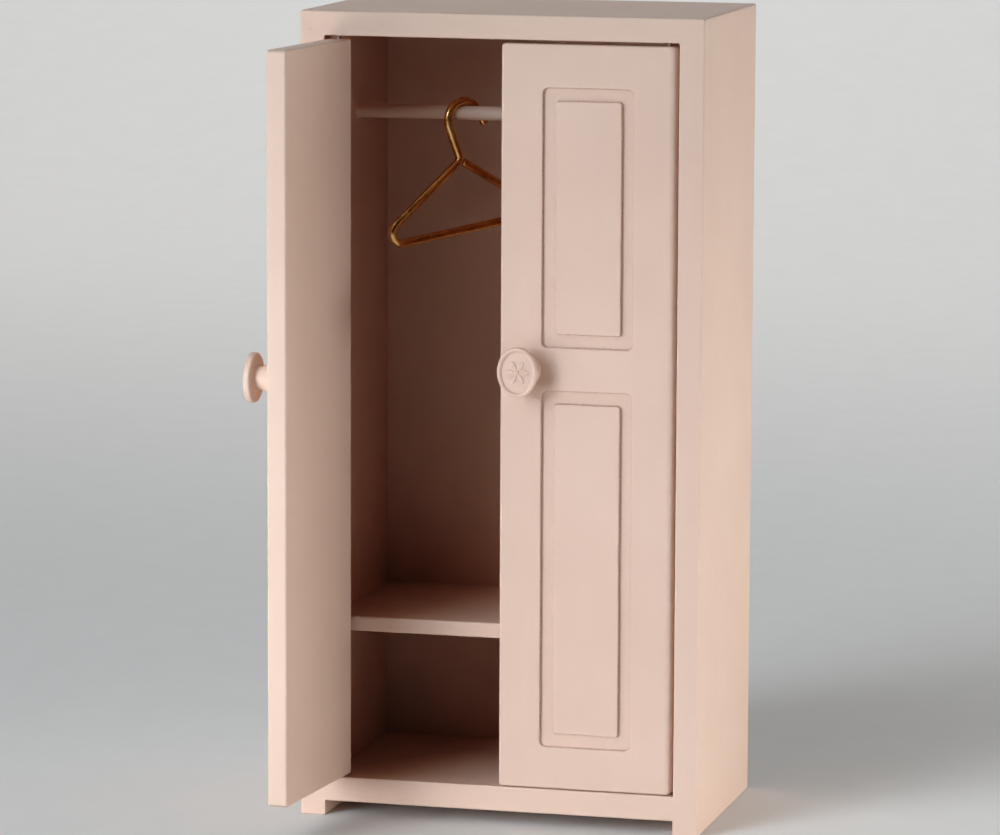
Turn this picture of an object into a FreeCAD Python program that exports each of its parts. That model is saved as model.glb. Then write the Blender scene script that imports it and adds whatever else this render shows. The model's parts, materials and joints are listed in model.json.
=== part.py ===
"""Miniature two-door wardrobe, a FreeCAD macro.

A glued and dowelled carcass of painted boards holds a shelf, a hanging rail and a thin back
panel. Two inset doors turn on steel pins, each door carries an oval knob, and a bent wire
clothes hanger hangs on the rail. Lengths are in millimetres, angles in degrees.

Frame: X to the right as one faces the doors, Y towards the back, Z up. The origin is on the
floor, midway between the side panels and midway between the carcass's front and back.
"""
import FreeCAD, Part
import math
import os

import Sketcher

DIMENSIONS = {
    # carcass boards
    "carcass_width": 100.0,
    "carcass_depth": 58.7,
    "carcass_height": 197.9,
    "side_thickness": 6.2,
    "top_thickness": 6.0,
    "bottom_thickness": 6.2,
    "foot_height": 3.6,
    "outer_round": 0.5,
    "back_thickness": 2.9,
    "rebate_width": 3.0,
    # joints of the carcass
    "dowel_radius": 1.5,
    "dowel_depth": 4.0,
    "dowel_front": 14.0,
    "brad_radius": 0.4,
    "brad_length": 8.0,
    "brad_head_radius": 0.8,
    "brad_head_height": 0.4,
    "brad_edge": 12.0,
    # shelf and hanging rail
    "shelf_top": 49.0,
    "shelf_thickness": 3.7,
    "shelf_setback": 5.9,
    "peg_radius": 0.8,
    "peg_depth": 3.0,
    "peg_front": 12.0,
    "rail_radius": 1.75,
    "rail_height": 171.5,
    "rail_depth": 3.0,
    "rail_back": 0.0,
    # doors and their pins
    "door_thickness": 5.0,
    "door_top_gap": 0.85,
    "door_bottom_gap": 0.2,
    "door_middle_gap": 0.6,
    "hinge_inset": 2.9,
    "hinge_edge": 2.45,
    "hinge_front_round": 2.0,
    "hinge_back_round": 1.0,
    "door_round": 0.5,
    "pin_radius": 0.6,
    "pin_play": 0.05,
    "pin_in_board": 4.2,
    "pin_in_door": 6.0,
    "left_door_opening": 95.0,
    # routed grooves on the door fronts
    "groove_depth": 0.9,
    "groove_free": 3.4,
    "groove_hinge": 3.0,
    "groove_top": 3.2,
    "groove_bottom": 3.3,
    "groove_outer_round": 1.5,
    "groove_inner_round": 0.6,
    "lip_round": 0.2,
    "panel_free_margin": 10.15,
    "panel_width": 22.45,
    "lower_panel_bottom": 10.3,
    "lower_panel_height": 87.35,
    "upper_panel_bottom": 108.1,
    "upper_panel_height": 62.55,
    # knobs
    "knob_free_margin": 5.7,
    "knob_height": 102.6,
    "left_knob_turn": 10.0,
    "spigot_radius": 1.25,
    "spigot_length": 3.0,
    "neck_base_radius": 4.4,
    "neck_waist_radius": 2.7,
    "neck_waist_height": 3.9,
    "neck_head_radius": 3.6,
    "neck_height": 4.6,
    "neck_sweep": 10.0,
    "neck_fillet": 0.8,
    "head_width": 9.8,
    "head_height": 12.1,
    "head_thickness": 1.9,
    "head_back_round": 0.35,
    "rim_width": 1.1,
    "rim_depth": 0.5,
    "rim_round": 0.35,
    "petal_count": 6,
    "petal_reach": 1.75,
    "petal_long": 1.3,
    "petal_short": 0.55,
    "petal_height": 0.35,
    "boss_height": 0.4,
    # wire clothes hanger
    "wire_radius": 1.0,
    "hanger_left_reach": 28.5,
    "hanger_right_reach": 23.2,
    "hanger_rise": 17.2,
    "corner_bend": 2.6,
    "neck_bend": 1.6,
    "hook_radius": 4.6,
    "hook_across": 0.9,
    "hook_rise": 9.9,
    "hook_end_angle": 32.0,
    "hook_tail": 4.3,
    "bar_slope": 7.6,
    "hanger_yaw": 48.0,
    "hanger_along": -16.9,
    "rail_clearance": 0.12,
}

X_AXIS = FreeCAD.Vector(1, 0, 0)
Y_AXIS = FreeCAD.Vector(0, 1, 0)
Z_AXIS = FreeCAD.Vector(0, 0, 1)
NO_TURN = FreeCAD.Rotation()
TINY = 0.01
ZERO = 1e-9
LEAST_CUT = 1e-6
NECK_OVERLAP = 0.5
PAST_EDGE = 1.0
ALMOST_WHOLE = 0.9

doc = FreeCAD.newDocument("miniature_wardrobe")
sheet = doc.addObject("Spreadsheet::Sheet", "Dims")
for row, (alias, value) in enumerate(DIMENSIONS.items(), start=1):
    sheet.set(f"A{row}", alias)
    sheet.set(f"B{row}", str(value))
    sheet.setAlias(f"B{row}", alias)
doc.recompute()
subparts = []


def size(alias):
    """The value of one cell of the sheet."""
    return float(sheet.get(alias))


def number(expression):
    """The value of an expression written with the sheet's aliases."""
    value = sheet.evalExpression(expression)
    return float(getattr(value, "Value", value))


# Lengths worked out from the driving dimensions, and the same as expressions.
inner_half = size("carcass_width") / 2 - size("side_thickness")
front = -size("carcass_depth") / 2
board_low = size("foot_height") + size("bottom_thickness")
board_high = size("carcass_height") - size("top_thickness")
door_low = board_low + size("door_bottom_gap")
door_height = board_high - size("door_top_gap") - door_low
door_reach = inner_half - size("hinge_inset") - size("door_middle_gap") / 2
pin_x = inner_half - size("hinge_inset")
pin_y = front + size("door_thickness") / 2

INNER_HALF = "(Dims.carcass_width / 2 - Dims.side_thickness)"
HALF_DEPTH = "(Dims.carcass_depth / 2)"
INNER_BACK = "(Dims.carcass_depth / 2 - Dims.back_thickness)"
BOARD_LOW = "(Dims.foot_height + Dims.bottom_thickness)"
BOARD_HIGH = "(Dims.carcass_height - Dims.top_thickness)"
DOOR_HEIGHT = f"({BOARD_HIGH} - Dims.door_top_gap - {BOARD_LOW} - Dims.door_bottom_gap)"
DOOR_REACH = f"({INNER_HALF} - Dims.hinge_inset - Dims.door_middle_gap / 2)"
PIN_X = f"({INNER_HALF} - Dims.hinge_inset)"
PIN_Y = f"({HALF_DEPTH} - Dims.door_thickness / 2)"


# ---------------------------------------------------------------- general helpers

def keep(obj, label):
    """Name a finished sub-part and list it for export."""
    obj.Label = label
    subparts.append(obj)
    return obj


def new_body(label, placement=None):
    body = doc.addObject("PartDesign::Body", label)
    if placement is not None:
        body.Placement = placement
    return keep(body, label)


def place(obj, **expressions):
    """Bind a sub-part's position to the sheet, one expression for each of x, y and z."""
    for axis, expression in expressions.items():
        obj.setExpression(f"Placement.Base.{axis}", expression)


def origin_plane(body, role):
    return next(f for f in body.Origin.OriginFeatures if f.Role == role)


def new_sketch(body, role, name, offset=None):
    """A sketch on one of the body's own planes, moved along the plane's normal by an expression."""
    sketch = body.newObject("Sketcher::SketchObject", f"{body.Name}_{name}")
    sketch.AttachmentSupport = [(origin_plane(body, role), "")]
    sketch.MapMode = "FlatFace"
    if offset is not None:
        sketch.setExpression("AttachmentOffset.Base.z", offset)
    return sketch


def bind(sketch, kind, geometry, expression, start):
    """Add a driving dimension that follows the sheet."""
    index = sketch.addConstraint(Sketcher.Constraint(kind, *geometry, start))
    sketch.renameConstraint(index, f"d{index}")
    sketch.setExpression(f"Constraints.d{index}", expression)


def signed_bind(sketch, kind, vertex, expression):
    """Hold a vertex at a signed distance from the sketch's origin."""
    value = number(expression)
    if abs(value) < ZERO:
        axis = -2 if kind == "DistanceX" else -1
        sketch.addConstraint(Sketcher.Constraint("PointOnObject", *vertex, axis))
    elif value > 0:
        bind(sketch, kind, (-1, 1, *vertex), expression, value)
    else:
        bind(sketch, kind, (*vertex, -1, 1), f"-({expression})", -value)


def rectangle(sketch, left, right, low, high, corner=None):
    """A rectangle between four expressions, its corners rounded where corner is given."""
    x0, x1, y0, y1 = (number(e) for e in (left, right, low, high))
    r = number(corner) if corner else 0.0
    points = [
        ((x0 + r, y0), (x1 - r, y0)),
        ((x1, y0 + r), (x1, y1 - r)),
        ((x1 - r, y1), (x0 + r, y1)),
        ((x0, y1 - r), (x0, y0 + r)),
    ]
    lines = [
        sketch.addGeometry(Part.LineSegment(FreeCAD.Vector(*a, 0), FreeCAD.Vector(*b, 0)))
        for a, b in points
    ]
    if corner:
        centres = [(x1 - r, y0 + r), (x1 - r, y1 - r), (x0 + r, y1 - r), (x0 + r, y0 + r)]
        arcs = []
        for i, (cx, cy) in enumerate(centres):
            circle = Part.Circle(FreeCAD.Vector(cx, cy, 0), Z_AXIS, r)
            start = math.pi * (1.5 + i / 2)
            arcs.append(sketch.addGeometry(Part.ArcOfCircle(circle, start, start + math.pi / 2)))
        for i in range(4):
            sketch.addConstraint(Sketcher.Constraint("Tangent", lines[i], 2, arcs[i], 1))
            sketch.addConstraint(Sketcher.Constraint("Tangent", arcs[i], 2, lines[(i + 1) % 4], 1))
        for arc in arcs[1:]:
            sketch.addConstraint(Sketcher.Constraint("Equal", arcs[0], arc))
        bind(sketch, "Radius", (arcs[0],), corner, r)
    else:
        for i in range(4):
            joint = Sketcher.Constraint("Coincident", lines[i], 2, lines[(i + 1) % 4], 1)
            sketch.addConstraint(joint)
    for i, direction in enumerate(("Horizontal", "Vertical", "Horizontal", "Vertical")):
        if corner and i > 1:
            continue
        sketch.addConstraint(Sketcher.Constraint(direction, lines[i]))
    signed_bind(sketch, "DistanceY", (lines[0], 1), low)
    signed_bind(sketch, "DistanceX", (lines[1], 1), right)
    signed_bind(sketch, "DistanceY", (lines[2], 1), high)
    signed_bind(sketch, "DistanceX", (lines[3], 1), left)


def circle(sketch, x, y, radius):
    """A circle whose centre and radius follow three expressions."""
    centre = FreeCAD.Vector(number(x), number(y), 0)
    ring = sketch.addGeometry(Part.Circle(centre, Z_AXIS, number(radius)))
    signed_bind(sketch, "DistanceX", (ring, 3), x)
    signed_bind(sketch, "DistanceY", (ring, 3), y)
    bind(sketch, "Radius", (ring,), radius, number(radius))


def pad(body, sketch, length, reverse=False, middle=False):
    feature = body.newObject("PartDesign::Pad", f"{sketch.Name}_pad")
    feature.Profile = sketch
    feature.setExpression("Length", length)
    feature.Reversed = reverse
    feature.Midplane = middle
    doc.recompute()
    return feature


def pocket(body, sketch, depth, reverse=False):
    """Cut a sketch into the body, and make sure that the cut removed something."""
    before = body.Shape.Volume
    feature = body.newObject("PartDesign::Pocket", f"{sketch.Name}_pocket")
    feature.Profile = sketch
    feature.Reversed = reverse
    feature.setExpression("Length", depth)
    doc.recompute()
    if body.Shape.Volume > before - LEAST_CUT:
        raise RuntimeError(f"{feature.Name} cut nothing")
    return feature


def edges_where(shape, test):
    """Names of the edges whose bounding box passes the test."""
    return [f"Edge{i}" for i, e in enumerate(shape.Edges, start=1) if test(e.BoundBox)]


def near(a, b):
    return abs(a - b) < TINY


def fillet(body, test, radius):
    names = edges_where(body.Tip.Shape, test)
    if not names:
        raise RuntimeError(f"{body.Name} has no such edge to round")
    feature = body.newObject("PartDesign::Fillet", f"{body.Name}_round{len(body.Group)}")
    feature.Base = (body.Group[-2], names)
    feature.setExpression("Radius", radius)
    doc.recompute()
    return feature


def rod(label, radius, length, placement):
    """A plain round rod, from its own origin along its own Z."""
    cylinder = doc.addObject("Part::Cylinder", label)
    cylinder.setExpression("Radius", radius)
    cylinder.setExpression("Height", length)
    cylinder.Placement = placement
    return cylinder


def group(label, members):
    compound = doc.addObject("Part::Compound", label)
    compound.Links = members
    return keep(compound, label)


# ---------------------------------------------------------------- carcass boards

DOWEL_PLACES = ("Dims.dowel_front", "(Dims.carcass_depth - Dims.dowel_front)")
PEG_PLACES = ("Dims.peg_front", "(Dims.carcass_depth - Dims.back_thickness - Dims.peg_front)")
TOP_MIDDLE = "(Dims.carcass_height - Dims.top_thickness / 2)"
BOTTOM_MIDDLE = "(Dims.foot_height + Dims.bottom_thickness / 2)"
SHELF_MIDDLE = "(Dims.shelf_top - Dims.shelf_thickness / 2)"


def along(place_from_front):
    """A place measured from the carcass's front, as a Y coordinate."""
    return f"({place_from_front} - {HALF_DEPTH})"


def side_panel(label, hand):
    """An upright board, with sockets for the dowels, the pegs and the rail on its inner face.

    hand is -1 for the left panel and 1 for the right one. The body's X = 0 is the inner face.
    """
    left = hand < 0
    body = new_body(label)
    place(body, x=INNER_HALF if hand > 0 else f"-{INNER_HALF}")
    outline = new_sketch(body, "YZ_Plane", "outline")
    rectangle(outline, f"-{HALF_DEPTH}", HALF_DEPTH, "0", "Dims.carcass_height")
    pad(body, outline, "Dims.side_thickness", reverse=left)

    outer = hand * size("side_thickness")
    top = size("carcass_height")

    def outer_edge(box):
        on_outer = near(box.XMin, outer) and near(box.XMax, outer)
        across_top = near(box.ZMin, top) and near(box.ZMax, top) and box.YLength < TINY
        return on_outer or across_top

    fillet(body, outer_edge, "Dims.outer_round")

    rebate = new_sketch(body, "YZ_Plane", "rebate")
    low = "(Dims.foot_height + Dims.bottom_thickness - Dims.rebate_width)"
    high = "(Dims.carcass_height - Dims.top_thickness + Dims.rebate_width)"
    rectangle(rebate, INNER_BACK, f"({HALF_DEPTH} + {PAST_EDGE})", low, high)
    pocket(body, rebate, "Dims.rebate_width", reverse=not left)

    dowels = new_sketch(body, "YZ_Plane", "dowel_sockets")
    for height in (TOP_MIDDLE, BOTTOM_MIDDLE):
        for depth in DOWEL_PLACES:
            circle(dowels, along(depth), height, "Dims.dowel_radius")
    pocket(body, dowels, "Dims.dowel_depth", reverse=not left)

    pegs = new_sketch(body, "YZ_Plane", "peg_sockets")
    for depth in PEG_PLACES:
        circle(pegs, along(depth), SHELF_MIDDLE, "Dims.peg_radius")
    pocket(body, pegs, "Dims.peg_depth", reverse=not left)

    rail = new_sketch(body, "YZ_Plane", "rail_socket")
    circle(rail, "Dims.rail_back", "Dims.rail_height", "Dims.rail_radius")
    pocket(body, rail, "Dims.rail_depth", reverse=not left)
    return body


def end_sockets(body, places, height, radius, depth):
    """Round sockets in both ends of a board that lies between the side panels."""
    for name, offset, reverse in (
        ("right_sockets", INNER_HALF, False),
        ("left_sockets", f"-{INNER_HALF}", True),
    ):
        sketch = new_sketch(body, "YZ_Plane", name, offset)
        for place_from_front in places:
            circle(sketch, along(place_from_front), height, radius)
        pocket(body, sketch, depth, reverse=reverse)


def lying_panel(label, thickness, level, faces_up):
    """The top or bottom board: rebated for the back panel, bored for dowels and door pins.

    The body's Z = 0 is the board's lower face. faces_up is true for the bottom board, whose
    inside is its upper face.
    """
    body = new_body(label)
    place(body, z=level)
    outline = new_sketch(body, "XY_Plane", "outline")
    rectangle(outline, f"-{INNER_HALF}", INNER_HALF, f"-{HALF_DEPTH}", HALF_DEPTH)
    pad(body, outline, thickness)

    outside = 0.0 if faces_up else size("top_thickness")

    def long_outer_edge(box):
        return near(box.ZMin, outside) and near(box.ZMax, outside) and box.YLength < TINY

    fillet(body, long_outer_edge, "Dims.outer_round")

    inside = thickness if faces_up else "0"
    rebate = new_sketch(body, "XY_Plane", "rebate", inside)
    rectangle(rebate, f"(-{INNER_HALF} - {PAST_EDGE})", f"({INNER_HALF} + {PAST_EDGE})",
              INNER_BACK, f"({HALF_DEPTH} + {PAST_EDGE})")
    pocket(body, rebate, "Dims.rebate_width", reverse=not faces_up)

    end_sockets(body, DOWEL_PLACES, f"({thickness} / 2)", "Dims.dowel_radius",
                "Dims.dowel_depth")

    pins = new_sketch(body, "XY_Plane", "pin_holes", inside)
    for x in (f"-{PIN_X}", PIN_X):
        circle(pins, x, f"-{PIN_Y}", "(Dims.pin_radius + Dims.pin_play)")
    pocket(body, pins, "Dims.pin_in_board", reverse=not faces_up)
    return body


def shelf():
    """A thin board on four pegs, its front edge just behind the closed doors."""
    body = new_body("shelf")
    place(body, z="(Dims.shelf_top - Dims.shelf_thickness)")
    outline = new_sketch(body, "XY_Plane", "outline")
    rectangle(outline, f"-{INNER_HALF}", INNER_HALF, f"(Dims.shelf_setback - {HALF_DEPTH})",
              INNER_BACK)
    pad(body, outline, "Dims.shelf_thickness")
    edge = front + size("shelf_setback")
    fillet(body, lambda b: near(b.YMin, edge) and near(b.YMax, edge) and b.ZLength < TINY,
           "Dims.door_round")
    end_sockets(body, PEG_PLACES, "(Dims.shelf_thickness / 2)", "Dims.peg_radius",
                "Dims.peg_depth")
    return body


def brad_places():
    """Where the brads go through the back panel, as X and Z expressions."""
    side = f"({INNER_HALF} + Dims.rebate_width / 2)"
    low = f"({BOARD_LOW} - Dims.rebate_width / 2)"
    high = f"({BOARD_HIGH} + Dims.rebate_width / 2)"
    clear_height = f"({BOARD_HIGH} - {BOARD_LOW} - 2 * Dims.brad_edge)"
    places = []
    for x in (f"-{side}", side):
        for third in range(4):
            places.append((x, f"({BOARD_LOW} + Dims.brad_edge + {clear_height} * {third} / 3)"))
    for z in (low, high):
        for x in (f"(-{INNER_HALF} / 2)", f"({INNER_HALF} / 2)"):
            places.append((x, z))
    return places


def back_panel():
    """A thin panel let into the rebates from behind and bored for its brads."""
    body = new_body("back_panel")
    place(body, y=INNER_BACK)
    outline = new_sketch(body, "XZ_Plane", "outline")
    side = f"({INNER_HALF} + Dims.rebate_width)"
    rectangle(outline, f"-{side}", side, f"({BOARD_LOW} - Dims.rebate_width)",
              f"({BOARD_HIGH} + Dims.rebate_width)")
    pad(body, outline, "Dims.back_thickness", reverse=True)
    for name, radius, depth in (
        ("brad_holes", "Dims.brad_radius", "Dims.back_thickness"),
        ("brad_heads", "Dims.brad_head_radius", "Dims.brad_head_height"),
    ):
        sketch = new_sketch(body, "XZ_Plane", name, "-Dims.back_thickness")
        for x, z in brad_places():
            circle(sketch, x, z, radius)
        pocket(body, sketch, depth, reverse=True)
    return body


def bore_for_brads(boards):
    """Pilot holes that the brads' points leave in the boards behind the back panel."""
    depth = "(Dims.brad_length - Dims.back_thickness)"
    for body in boards:
        placement = body.Placement.Base
        box = body.Shape.BoundBox
        sketch = new_sketch(body, "XZ_Plane", "brad_points", f"-{INNER_BACK}")
        for x, z in brad_places():
            px, pz = number(x), number(z)
            if box.XMin < px < box.XMax and box.ZMin < pz < box.ZMax:
                circle(sketch, f"({x} - ({placement.x}))", f"({z} - ({placement.z}))",
                       "Dims.brad_radius")
        pocket(body, sketch, depth, reverse=True)


# ---------------------------------------------------------------- doors and knobs

def door(label, hand, placement):
    """An inset door with two routed grooves on its front.

    The body's origin is on the hinge pins' axis at the door's lower edge, with Y towards the
    back of the closed door. hand is 1 where the door reaches towards +X from its pins.
    """
    body = new_body(label, placement)

    def span(near_edge, far_edge):
        """Two distances from the pins, as left and right expressions."""
        return (near_edge, far_edge) if hand > 0 else (f"-({far_edge})", f"-({near_edge})")

    outline = new_sketch(body, "XZ_Plane", "outline")
    rectangle(outline, *span("-Dims.hinge_edge", DOOR_REACH), "0", DOOR_HEIGHT)
    pad(body, outline, "Dims.door_thickness", middle=True)

    hinge = -hand * size("hinge_edge")
    half = size("door_thickness") / 2

    def hinge_edge(box, y):
        return near(box.XMin, hinge) and near(box.XMax, hinge) and near(box.YMin, y) and near(
            box.YMax, y)

    fillet(body, lambda b: hinge_edge(b, -half), "Dims.hinge_front_round")
    fillet(body, lambda b: hinge_edge(b, half), "Dims.hinge_back_round")

    free = hand * door_reach

    def other_edge(box):
        flat = box.ZLength < TINY
        on_free = near(box.XMin, free) and near(box.XMax, free) and box.YLength < TINY
        return flat or on_free

    fillet(body, other_edge, "Dims.door_round")

    front_face = "(Dims.door_thickness / 2)"
    far = f"({DOOR_REACH} - Dims.panel_free_margin)"
    close = f"({far} - Dims.panel_width)"
    grooves = new_sketch(body, "XZ_Plane", "grooves", front_face)
    for level in ("lower", "upper"):
        low = f"Dims.{level}_panel_bottom"
        high = f"({low} + Dims.{level}_panel_height)"
        rectangle(grooves, *span(close, far), low, high, "Dims.groove_outer_round")
        field = span(f"({close} + Dims.groove_hinge)", f"({far} - Dims.groove_free)")
        rectangle(grooves, *field, f"({low} + Dims.groove_bottom)",
                  f"({high} - Dims.groove_top)", "Dims.groove_inner_round")
    pocket(body, grooves, "Dims.groove_depth")

    lip_left, lip_right = sorted(
        hand * x for x in (door_reach - size("panel_free_margin"),
                           door_reach - size("panel_free_margin") - size("panel_width")))

    def lip(box):
        on_front = near(box.YMin, -half) and near(box.YMax, -half)
        return on_front and lip_left - TINY < box.XMin and box.XMax < lip_right + TINY

    fillet(body, lip, "Dims.lip_round")

    socket = new_sketch(body, "XZ_Plane", "knob_socket", front_face)
    knob_x = f"({DOOR_REACH} - Dims.knob_free_margin)"
    circle(socket, knob_x if hand > 0 else f"-{knob_x}", "Dims.knob_height",
           "Dims.spigot_radius")
    pocket(body, socket, "Dims.spigot_length")

    for name, offset, reverse in (("lower_pin", "0", True), ("upper_pin", DOOR_HEIGHT, False)):
        hole = new_sketch(body, "XY_Plane", name, offset)
        circle(hole, "0", "0", "Dims.pin_radius")
        pocket(body, hole, "Dims.pin_in_door", reverse=reverse)
    return body


def ellipse(sketch, half_x, half_y, centre_x=0.0):
    """A free ellipse about a point on the sketch's X axis."""
    across, upright = FreeCAD.Vector(half_x, 0, 0), FreeCAD.Vector(0, half_y, 0)
    long_way, short_way = (across, upright) if half_x > half_y else (upright, across)
    centre = FreeCAD.Vector(centre_x, 0, 0)
    return sketch.addGeometry(Part.Ellipse(centre + long_way, centre + short_way, centre))


def line(start, end):
    return Part.LineSegment(FreeCAD.Vector(*start, 0), FreeCAD.Vector(*end, 0))


def hollow_arc(start, end, radius):
    """An arc that climbs from start to end and is hollow towards the outside of a turned part."""
    along = FreeCAD.Vector(end[0] - start[0], end[1] - start[1], 0)
    middle = FreeCAD.Vector((start[0] + end[0]) / 2, (start[1] + end[1]) / 2, 0)
    outwards = FreeCAD.Vector(along.y, -along.x, 0).normalize()
    centre = middle + outwards * math.sqrt(radius ** 2 - along.Length ** 2 / 4)
    first = math.atan2(end[1] - centre.y, end[0] - centre.x)
    last = math.atan2(start[1] - centre.y, start[0] - centre.x)
    return Part.ArcOfCircle(Part.Circle(centre, Z_AXIS, radius), first, last)


def knob(label, placement):
    """An oval knob with a round neck, a raised rim, a plain rosette and a glued spigot.

    The body's Z = 0 is the door's front face and Z runs out of it; the head is tall in Y.
    """
    body = new_body(label, placement)
    spigot = new_sketch(body, "XY_Plane", "spigot")
    circle(spigot, "0", "0", "Dims.spigot_radius")
    pad(body, spigot, "Dims.spigot_length", reverse=True)

    neck = new_sketch(body, "XZ_Plane", "neck")
    base, waist = size("neck_base_radius"), size("neck_waist_radius")
    waist_height, height = size("neck_waist_height"), size("neck_height")
    joined, inside_head = size("neck_head_radius"), size("neck_height") + NECK_OVERLAP
    foot = neck.addGeometry(line((0, 0), (base, 0)))
    sweep = neck.addGeometry(hollow_arc((base, 0), (waist, waist_height), size("neck_sweep")))
    flare = neck.addGeometry(
        hollow_arc((waist, waist_height), (joined, height), size("neck_fillet")))
    side = neck.addGeometry(line((joined, height), (joined, inside_head)))
    lid = neck.addGeometry(line((joined, inside_head), (0, inside_head)))
    axis = neck.addGeometry(line((0, inside_head), (0, 0)))
    joints = ((foot, 2, sweep, 2), (sweep, 1, flare, 2), (flare, 1, side, 1), (side, 2, lid, 1),
              (lid, 2, axis, 1), (axis, 2, foot, 1), (foot, 1, -1, 1))
    for joint in joints:
        neck.addConstraint(Sketcher.Constraint("Coincident", *joint))
    for direction, edge in (("Horizontal", foot), ("Vertical", side), ("Horizontal", lid),
                            ("Vertical", axis)):
        neck.addConstraint(Sketcher.Constraint(direction, edge))
    bind(neck, "DistanceX", (-1, 1, foot, 2), "Dims.neck_base_radius", base)
    bind(neck, "DistanceX", (-1, 1, sweep, 1), "Dims.neck_waist_radius", waist)
    bind(neck, "DistanceY", (-1, 1, sweep, 1), "Dims.neck_waist_height", waist_height)
    bind(neck, "DistanceX", (-1, 1, side, 1), "Dims.neck_head_radius", joined)
    bind(neck, "DistanceY", (-1, 1, side, 1), "Dims.neck_height", height)
    bind(neck, "DistanceY", (-1, 1, side, 2), f"Dims.neck_height + {NECK_OVERLAP}", inside_head)
    bind(neck, "Radius", (sweep,), "Dims.neck_sweep", size("neck_sweep"))
    bind(neck, "Radius", (flare,), "Dims.neck_fillet", size("neck_fillet"))
    turned = body.newObject("PartDesign::Revolution", f"{label}_neck")
    turned.Profile = neck
    turned.ReferenceAxis = (neck, ["V_Axis"])
    turned.Angle = 360
    doc.recompute()

    head_low = "(Dims.neck_height)"
    head = new_sketch(body, "XY_Plane", "head", head_low)
    ellipse(head, size("head_width") / 2, size("head_height") / 2)
    pad(body, head, "Dims.head_thickness")
    top = size("neck_height") + size("head_thickness")
    low = size("neck_height")

    def rim(level):
        wide = size("head_width") * ALMOST_WHOLE
        return lambda b: near(b.ZMin, level) and near(b.ZMax, level) and b.XLength > wide

    fillet(body, rim(low), "Dims.head_back_round")

    recess = new_sketch(body, "XY_Plane", "recess", "(Dims.neck_height + Dims.head_thickness)")
    ellipse(recess, size("head_width") / 2 - size("rim_width"),
            size("head_height") / 2 - size("rim_width"))
    pocket(body, recess, "Dims.rim_depth")
    fillet(body, lambda b: near(b.ZMin, top) and near(b.ZMax, top), "Dims.rim_round")

    floor = "(Dims.neck_height + Dims.head_thickness - Dims.rim_depth)"
    petal = new_sketch(body, "XY_Plane", "petal", floor)
    ellipse(petal, size("petal_long"), size("petal_short"), size("petal_reach"))
    raised = pad(body, petal, "Dims.petal_height")
    ring = body.newObject("PartDesign::PolarPattern", f"{label}_petals")
    ring.Originals = [raised]
    ring.Axis = (petal, ["N_Axis"])
    ring.Angle = 360
    ring.Occurrences = int(size("petal_count"))
    body.Tip = ring
    doc.recompute()
    boss = new_sketch(body, "XY_Plane", "boss", floor)
    circle(boss, "0", "0", "Dims.petal_short")
    pad(body, boss, "Dims.boss_height")
    return body


# ---------------------------------------------------------------- clothes hanger

def vector(x, z):
    return FreeCAD.Vector(x, z, 0)


def unit(v):
    return FreeCAD.Vector(v.x / v.Length, v.y / v.Length, 0)


def bend(before, corner, after, radius):
    """Where an arc of this radius starts, has its middle and ends, round a corner."""
    back, ahead = unit(before - corner), unit(after - corner)
    half = back.getAngle(ahead) / 2
    middle_way = unit(back + ahead)
    centre = corner + middle_way * (radius / math.sin(half))
    reach = radius / math.tan(half)
    return corner + back * reach, centre - middle_way * radius, corner + ahead * reach


def path_sketch(body, name, pieces):
    """An open run of lines (two points) and arcs (three points), held together end to end."""
    sketch = new_sketch(body, "XZ_Plane", name)
    for points in pieces:
        if len(points) == 2:
            sketch.addGeometry(Part.LineSegment(*points))
        else:
            sketch.addGeometry(Part.Arc(*points))
    return sketch


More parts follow.
